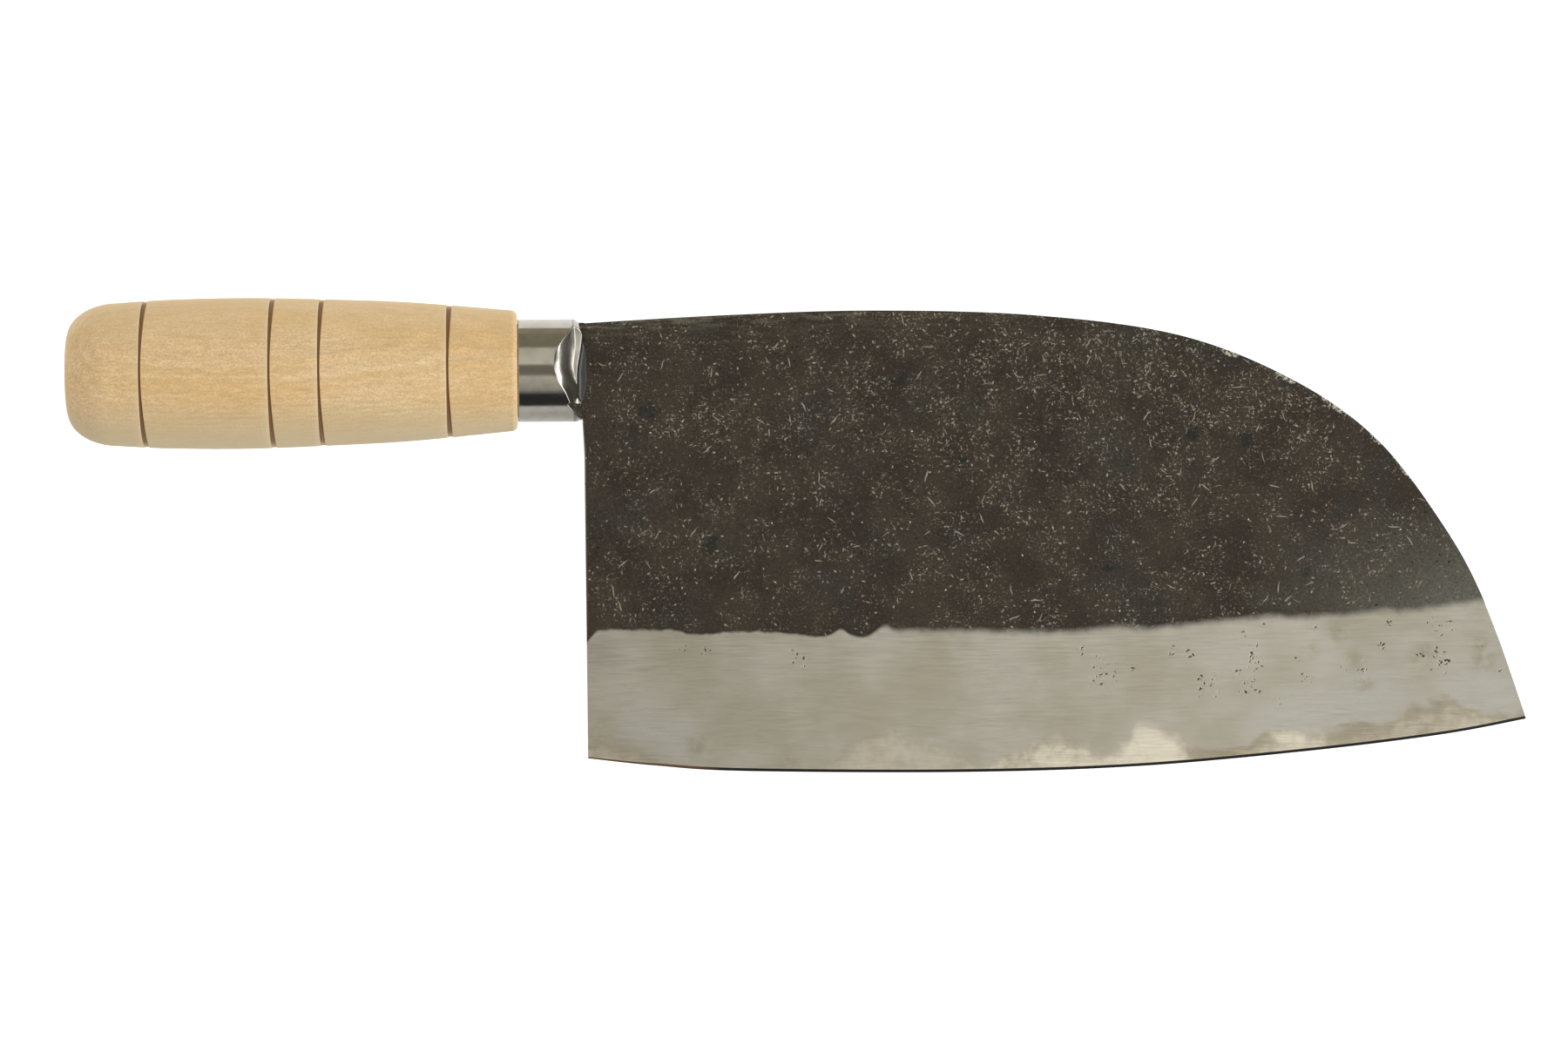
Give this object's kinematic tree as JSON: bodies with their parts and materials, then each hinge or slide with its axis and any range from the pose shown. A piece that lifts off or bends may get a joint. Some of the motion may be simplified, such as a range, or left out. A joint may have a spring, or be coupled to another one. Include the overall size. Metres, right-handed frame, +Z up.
{
  "type": "kitchen knife",
  "caption": "Wide kitchen knife with a layered, forge-blackened blade, polished ground bevel, pinched steel ferrule and turned wooden handle with grooves.",
  "frame": {"origin": "centre of the footprint on the board that the knife lies on", "axes": "+X along the handle from butt to blade tip, +Y towards the spine, +Z up, out of the upper side of the blade, as the knife lies on its side at rest"},
  "size_m": [0.3076, 0.1012, 0.0332],
  "materials": {
    "core_steel": "finely ground carbon steel, brushed along the edge",
    "cladding_iron": "black forge scale on the flats, satin where ground",
    "ferrule_steel": "polished steel",
    "resin": "clear glossy resin over dark steel",
    "handle_wood": "pale turned hardwood, thinly varnished"
  },
  "bodies": {
    "root": {"blade_core": "core_steel", "cladding_left": "cladding_iron", "cladding_right": "cladding_iron", "ferrule": "ferrule_steel", "mouth_seal": "resin", "resin_bed": "resin", "handle": "handle_wood"}
  },
  "joints": []
}
